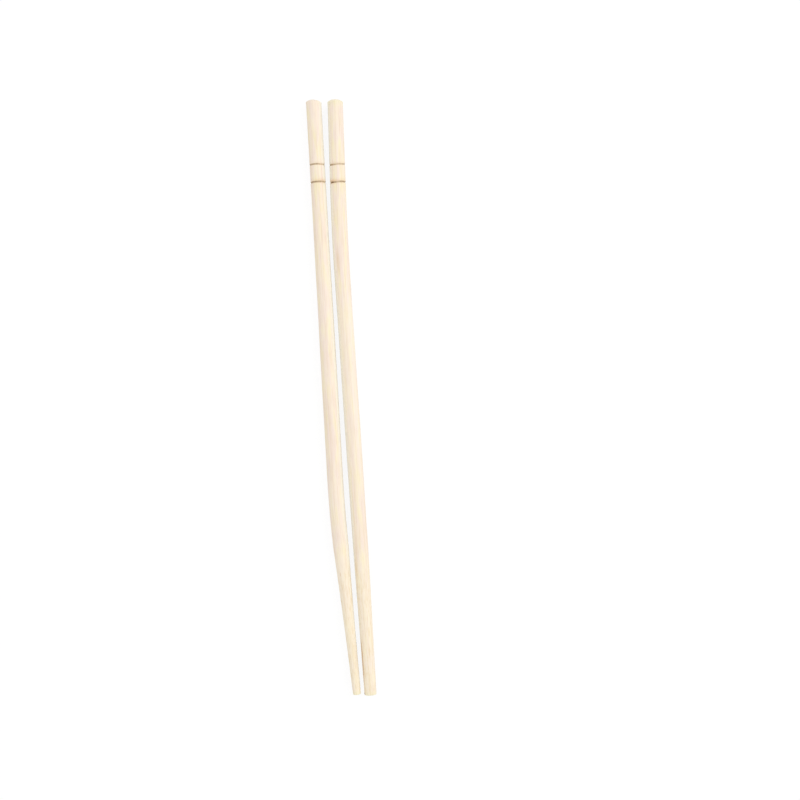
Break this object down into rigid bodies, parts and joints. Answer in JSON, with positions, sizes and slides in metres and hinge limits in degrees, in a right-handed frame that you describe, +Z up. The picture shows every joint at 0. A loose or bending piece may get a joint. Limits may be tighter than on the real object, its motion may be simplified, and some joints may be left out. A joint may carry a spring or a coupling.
{
  "type": "pair of bamboo chopsticks",
  "caption": "Pair of round bamboo chopsticks for picking up food, with scorched ring grooves near the crowned butts and long tapers to flat tips.",
  "frame": {"origin": "on the table, under the middle of the pair's bounding box", "axes": "+Y along the sticks from the tips to the grooved butts, +X from the left stick to the right one, +Z up from the table"},
  "size_m": [0.0134, 0.2102, 0.0055],
  "materials": {
    "bamboo": "matte"
  },
  "bodies": {
    "root": {"chopstick_left": "bamboo", "chopstick_right": "bamboo"}
  },
  "joints": []
}
